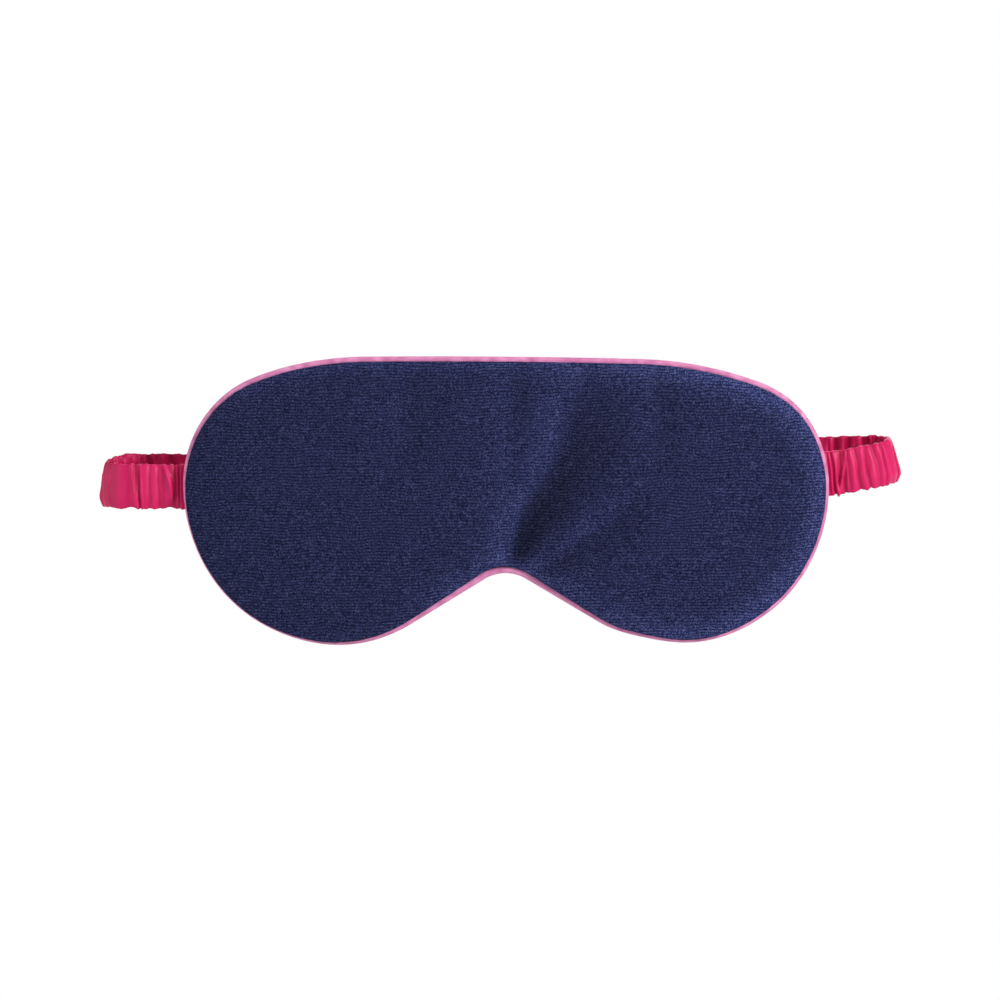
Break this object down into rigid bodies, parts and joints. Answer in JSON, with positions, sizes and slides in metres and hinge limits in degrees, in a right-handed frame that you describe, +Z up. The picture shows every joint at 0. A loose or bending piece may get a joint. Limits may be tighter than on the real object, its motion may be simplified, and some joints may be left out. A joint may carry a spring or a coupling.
{
  "type": "padded sleep mask",
  "caption": "Padded sleep mask with a nose notch, a piped edge and a ruched elastic strap that loops behind the head.",
  "frame": {"origin": "middle of the back face, where the mask lies on the wearer's face", "axes": "+X across the mask to the right seen from the front, +Y backwards into the strap loop, +Z up; the front faces -Y"},
  "size_m": [0.263, 0.0425, 0.0938],
  "materials": {
    "navy_velour": "matte",
    "white_wadding": "matte",
    "black_lining": "matte",
    "satin_back": "satin",
    "pink_satin": "satin",
    "cotton_cord": "matte",
    "thread": "matte",
    "strap_satin": "satin",
    "elastic": "matte"
  },
  "bodies": {
    "mask": {"front_panel": "navy_velour", "wadding": "white_wadding", "blackout_lining": "black_lining", "back_panel": "satin_back", "piping_cover": "pink_satin", "piping_cord": "cotton_cord", "edge_seam": "thread", "strap_tail_left": "strap_satin", "strap_tail_right": "strap_satin"},
    "strap_sides": {"strap_side_cover_left": "strap_satin", "strap_side_cover_right": "strap_satin", "strap_side_elastic_left": "elastic", "strap_side_elastic_right": "elastic"},
    "strap_back": {"strap_back_cover": "strap_satin", "strap_back_elastic": "elastic"}
  },
  "joints": [
    {"name": "strap_swing", "type": "hinge", "parent": "mask", "child": "strap_sides", "pos_m": [0, -0.00265, 0.0065], "axis": [1, 0, 0], "range_deg": [-50, 50], "stiffness_Nm_per_rad": 0.02},
    {"name": "strap_stretch", "type": "slide", "parent": "strap_sides", "child": "strap_back", "axis": [0, 1, 0], "range_m": [0, 0.12], "stiffness_N_per_m": 30, "deforming": ["strap_side_cover_left", "strap_side_cover_right", "strap_side_elastic_left", "strap_side_elastic_right"]}
  ]
}
